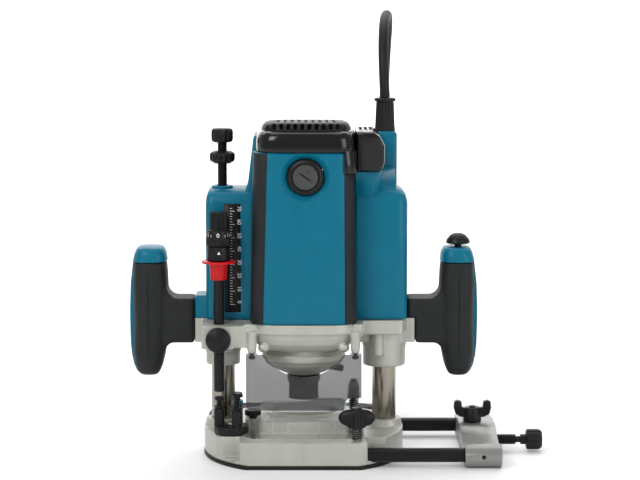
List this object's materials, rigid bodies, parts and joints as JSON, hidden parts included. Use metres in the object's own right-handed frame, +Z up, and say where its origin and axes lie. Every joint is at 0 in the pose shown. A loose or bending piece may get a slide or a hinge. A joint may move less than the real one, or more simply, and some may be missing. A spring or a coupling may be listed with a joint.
{
  "type": "plunge router",
  "caption": "Hand-held woodworking plunge router on two columns with depth gauge, stop turret, edge guide bars and two side grips.",
  "frame": {"origin": "on the spindle axis at the plane of the sole", "axes": "+Z up along the spindle, +X to the right of the side with the depth gauge, which faces -Y"},
  "size_m": [0.351, 0.2474, 0.3735],
  "materials": {
    "teal_plastic": "satin moulded plastic",
    "black_rubber": "soft matte grip rubber",
    "gloss_black": "polished",
    "black_plastic": "fine moulded texture",
    "black_phenolic": "smooth laminate",
    "cast_aluminium": "clear-coated casting",
    "brushed_aluminium": "brushed",
    "chrome_steel": "ground and chromed",
    "black_steel": "blackened",
    "bright_steel": "zinc plated",
    "core_steel": "laminated",
    "bronze": "sintered",
    "carbon": "pressed carbon",
    "clear_plastic": "clear moulded",
    "smoke_plastic": "smoke tint",
    "red_plastic": "moulded",
    "cord_rubber": "rubber sheath"
  },
  "bodies": {
    "base": {"sub_base_plate": "black_phenolic", "sub_base_screws": "bright_steel", "base_casting": "cast_aluminium", "left_column": "chrome_steel", "right_column": "chrome_steel", "return_spring": "bright_steel", "dust_shroud": "clear_plastic", "shroud_latch": "teal_plastic", "clamp_springs": "black_steel", "turret_screw": "bright_steel", "cord_tube": "cord_rubber", "cord_coil": "cord_rubber", "plug": "black_plastic"},
    "shroud_screw": {"shroud_screw": "black_plastic"},
    "front_clamp": {"front_clamp_knob": "black_plastic"},
    "rear_clamp": {"rear_clamp_knob": "black_plastic"},
    "turret": {"stop_turret": "black_plastic", "stop_bolts": "black_steel"},
    "height_screw": {"height_rod": "black_steel", "height_knob": "black_plastic"},
    "height_nut": {"height_nut": "black_plastic"},
    "guide_set": {"front_guide_bar": "black_steel", "rear_guide_bar": "black_steel", "guide_holder": "brushed_aluminium"},
    "wing_nut": {"guide_wing_nut": "black_plastic"},
    "adjust_screw": {"adjust_screw": "black_plastic"},
    "motor_unit": {"motor_bracket": "cast_aluminium", "column_bushes": "bronze", "chip_shield": "smoke_plastic", "shield_screws": "black_steel", "motor_housing": "teal_plastic", "left_tower": "teal_plastic", "right_tower": "teal_plastic", "depth_scale": "black_plastic", "top_cover": "gloss_black", "side_cover": "gloss_black", "rubber_strips": "black_rubber", "brush_caps": "black_plastic", "carbon_brushes": "carbon", "left_grip": "black_rubber", "left_grip_cap": "teal_plastic", "right_grip": "black_rubber", "right_grip_cap": "teal_plastic", "spindle_bearings": "bright_steel", "stator": "core_steel", "cord_guard": "black_rubber"},
    "spindle": {"spindle_shaft": "bright_steel", "collet_nut": "black_steel", "collet": "bright_steel", "armature": "core_steel", "cooling_fan": "black_plastic"},
    "depth_rod": {"depth_rod": "black_steel", "index_collar": "black_plastic"},
    "depth_pointer": {"depth_pointer": "red_plastic"},
    "depth_dial": {"depth_dial": "black_plastic"},
    "rod_clamp": {"rod_clamp_knob": "black_plastic"},
    "plunge_lock": {"plunge_lock_lever": "black_plastic"},
    "shaft_lock": {"shaft_lock_button": "black_plastic"},
    "trigger": {"trigger": "black_plastic"},
    "lock_button": {"lock_button": "black_plastic"}
  },
  "joints": [
    {"name": "plunge", "type": "slide", "parent": "base", "child": "motor_unit", "axis": [0, 0, 1], "range_m": [-0.024, 0.0125], "stiffness_N_per_m": 350, "springref_m": 0.13, "deforming": ["return_spring", "cord_tube"]},
    {"name": "spindle_turn", "type": "hinge", "parent": "motor_unit", "child": "spindle", "pos_m": [0, 0, 0.06], "axis": [0, 0, 1], "continuous": true},
    {"name": "depth_rod_slide", "type": "slide", "parent": "motor_unit", "child": "depth_rod", "axis": [0, 0, 1], "range_m": [-0.0125, 0.036]},
    {"name": "depth_pointer_slide", "type": "slide", "parent": "depth_rod", "child": "depth_pointer", "axis": [0, 0, 1], "range_m": [-0.033, 0]},
    {"name": "depth_dial_turn", "type": "hinge", "parent": "depth_rod", "child": "depth_dial", "pos_m": [-0.0707, -0.036, 0.19], "axis": [0, 0, 1], "continuous": true},
    {"name": "rod_clamp_turn", "type": "hinge", "parent": "motor_unit", "child": "rod_clamp", "pos_m": [-0.0707, -0.05, 0.106], "axis": [0, 1, 0], "continuous": true},
    {"name": "plunge_lock_turn", "type": "hinge", "parent": "motor_unit", "child": "plunge_lock", "pos_m": [-0.0685, 0.025, 0.1], "axis": [0, 1, 0], "range_deg": [0, 45]},
    {"name": "shaft_lock_press", "type": "slide", "parent": "motor_unit", "child": "shaft_lock", "axis": [-0.848, 0.5299, 0], "range_m": [0, 0.0022], "stiffness_N_per_m": 600, "springref_m": -0.002},
    {"name": "trigger_press", "type": "slide", "parent": "motor_unit", "child": "trigger", "axis": [0, -1, 0], "range_m": [0, 0.0028], "stiffness_N_per_m": 900, "springref_m": -0.003},
    {"name": "lock_button_press", "type": "slide", "parent": "motor_unit", "child": "lock_button", "axis": [0, 0, -1], "range_m": [0, 0.0022], "stiffness_N_per_m": 600, "springref_m": -0.003},
    {"name": "turret_turn", "type": "hinge", "parent": "base", "child": "turret", "pos_m": [-0.0607, -0.036, 0.03], "axis": [0, 0, 1], "continuous": true},
    {"name": "height_screw_turn", "type": "hinge", "parent": "base", "child": "height_screw", "pos_m": [-0.0685, 0, 0.26], "axis": [0, 0, 1], "continuous": true},
    {"name": "height_nut_travel", "type": "slide", "parent": "base", "child": "height_nut", "axis": [0, 0, 1], "range_m": [-0.0075, 0.0072]},
    {"name": "front_clamp_turn", "type": "hinge", "parent": "base", "child": "front_clamp", "pos_m": [0.044, -0.059, 0.04], "axis": [0, 0, 1], "range_deg": [0, 90]},
    {"name": "rear_clamp_turn", "type": "hinge", "parent": "base", "child": "rear_clamp", "pos_m": [0.044, 0.059, 0.04], "axis": [0, 0, 1], "range_deg": [0, 90]},
    {"name": "shroud_screw_turn", "type": "hinge", "parent": "base", "child": "shroud_screw", "pos_m": [-0.043, -0.018, 0.04], "axis": [0, 0, 1], "continuous": true},
    {"name": "guide_slide", "type": "slide", "parent": "base", "child": "guide_set", "axis": [1, 0, 0], "range_m": [-0.04, 0.06]},
    {"name": "wing_nut_turn", "type": "hinge", "parent": "guide_set", "child": "wing_nut", "pos_m": [0.1455, 0.018, 0.03], "axis": [0, 0, 1], "continuous": true},
    {"name": "adjust_screw_turn", "type": "hinge", "parent": "guide_set", "child": "adjust_screw", "pos_m": [0.18, 0, 0.0103], "axis": [1, 0, 0], "continuous": true}
  ],
  "couplings": [
    {"joint": "depth_rod_slide", "follows": "plunge", "ratio": -1}
  ]
}
